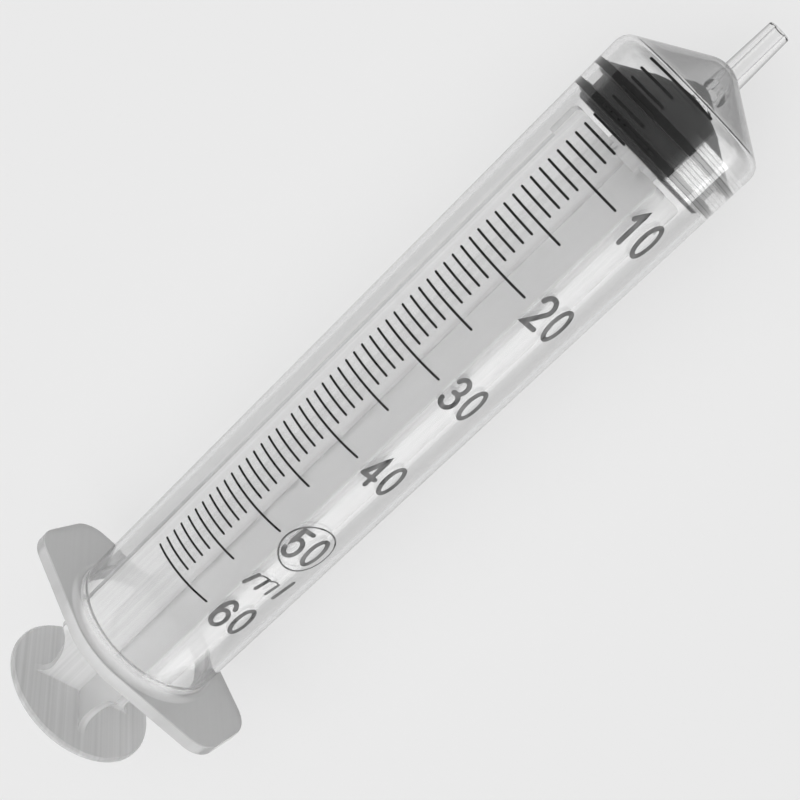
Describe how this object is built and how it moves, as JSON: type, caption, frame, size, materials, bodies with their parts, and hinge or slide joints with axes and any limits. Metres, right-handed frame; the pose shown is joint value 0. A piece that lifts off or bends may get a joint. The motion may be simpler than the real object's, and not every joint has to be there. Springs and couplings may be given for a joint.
{
  "type": "luer slip syringe",
  "caption": "Clear plastic syringe with an off-centre slip nozzle, finger flange, black rubber stopper and a cross-shaped plunger rod with a round thumb disc.",
  "frame": {"origin": "on the barrel's axis, in the plane of the finger flange's front face", "axes": "+X along the barrel's axis towards the nozzle, +Z away from the surface the syringe lies on; it lies on the round of the flange's hub with the wings turned 6 degrees about X, the +Y wing lower"},
  "size_m": [0.163, 0.049, 0.0318],
  "materials": {
    "barrel_plastic": "clear, smooth, slightly milky",
    "rod_plastic": "translucent, satin",
    "stopper_rubber": "black, satin"
  },
  "bodies": {
    "barrel": {"barrel": "barrel_plastic"},
    "stopper": {"stopper": "stopper_rubber"},
    "plunger": {"plunger_rod": "rod_plastic"}
  },
  "joints": [
    {"name": "plunger_slide", "type": "slide", "parent": "barrel", "child": "stopper", "axis": [1, 0, 0], "range_m": [-0.1151, 0.004]},
    {"name": "rod_swivel", "type": "hinge", "parent": "stopper", "child": "plunger", "pos_m": [0.1186, 0, 0], "axis": [1, 0, 0], "continuous": true}
  ]
}
